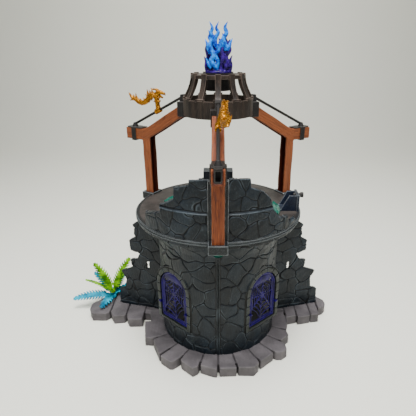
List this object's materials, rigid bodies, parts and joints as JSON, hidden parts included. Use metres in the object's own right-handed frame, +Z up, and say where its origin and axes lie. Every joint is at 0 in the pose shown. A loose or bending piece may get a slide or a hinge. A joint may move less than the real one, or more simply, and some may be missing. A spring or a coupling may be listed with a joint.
{
  "type": "miniature terrain ruin",
  "caption": "Ruined round tower for tabletop play: stone lower wall with web grilles, open deck with broken parapet, and a posted frame holding a flame crown.",
  "frame": {"origin": "on the tower's axis, at the underside of the base", "axes": "+Z up along the tower's axis, +Y from the front of the tower to its open back, +X to the right as seen from the front"},
  "size_m": [0.3858, 0.2439, 0.4004],
  "materials": {
    "paving": "matt mauve-grey with a worn, mottled face",
    "dark_stone": "satin slate grey with lighter rubbed edges",
    "purple_grille": "glossy purple",
    "deck_floor": "matt brown-grey with scuffs",
    "dark_trim": "satin near-black grey",
    "timber": "matt red-brown with moulded wood grain",
    "black_fittings": "satin black-brown",
    "crown_iron": "satin brown-grey, like old iron",
    "blue_flame": "glossy, slightly clear blue",
    "purple_flame": "glossy, slightly clear purple",
    "gold": "metallic gold plastic",
    "teal_crystal": "glossy teal",
    "lime_leaf": "soft satin lime green",
    "cyan_leaf": "soft satin cyan",
    "navy_plastic": "satin navy",
    "grey_fittings": "satin dark grey"
  },
  "bodies": {
    "tower": {"base_plate": "paving", "front_wall_left": "dark_stone", "front_wall_right": "dark_stone", "window_grille_left": "purple_grille", "window_grille_right": "purple_grille", "wing_wall_left": "dark_stone", "wing_wall_right": "dark_stone", "deck": "deck_floor", "parapet_left": "dark_stone", "parapet_right": "dark_stone", "post_channel": "dark_trim", "post_socket_front": "dark_trim", "post_socket_left": "dark_trim", "post_socket_right": "dark_trim", "post_front": "timber", "post_left": "timber", "post_right": "timber", "stub_strap_front": "black_fittings", "stub_strap_left": "black_fittings", "stub_strap_right": "black_fittings", "rafter_clip_front": "black_fittings", "rafter_clip_left": "black_fittings", "rafter_clip_right": "black_fittings", "strut_rod_front": "black_fittings", "strut_rod_left": "black_fittings", "strut_rod_right": "black_fittings", "crown_cage": "crown_iron", "flame_cup": "crown_iron", "gem_front": "teal_crystal", "gem_left": "teal_crystal", "gem_right": "teal_crystal", "side_bracket": "navy_plastic", "rear_bracket": "grey_fittings", "rear_peg_left": "grey_fittings", "rear_peg_right": "grey_fittings"},
    "flame": {"flame_purple": "purple_flame", "flame_blue": "blue_flame"},
    "front_dragon": {"dragon_front": "gold"},
    "left_dragon": {"dragon_left": "gold"},
    "turning_knob": {"side_knob": "black_fittings"},
    "fern_plant": {"fern_cyan": "cyan_leaf", "fern_green": "lime_leaf"}
  },
  "joints": [
    {"name": "flame_lift", "type": "slide", "parent": "tower", "child": "flame", "axis": [0, 0, 1], "range_m": [0, 0.025]},
    {"name": "front_dragon_swing", "type": "hinge", "parent": "tower", "child": "front_dragon", "pos_m": [0, -0.08351, 0.30249], "axis": [0, -0.8953, -0.4455], "range_deg": [-28, 62]},
    {"name": "left_dragon_swing", "type": "hinge", "parent": "tower", "child": "left_dragon", "pos_m": [-0.07658, 0.04422, 0.30004], "axis": [-0.7753, 0.4476, -0.4455], "range_deg": [-45, 45]},
    {"name": "knob_turn", "type": "hinge", "parent": "tower", "child": "turning_knob", "pos_m": [0.097, -0.008, 0.2045], "axis": [1, 0, 0], "continuous": true},
    {"name": "fern_lift", "type": "slide", "parent": "tower", "child": "fern_plant", "axis": [0, 0, 1], "range_m": [0, 0.012]}
  ]
}
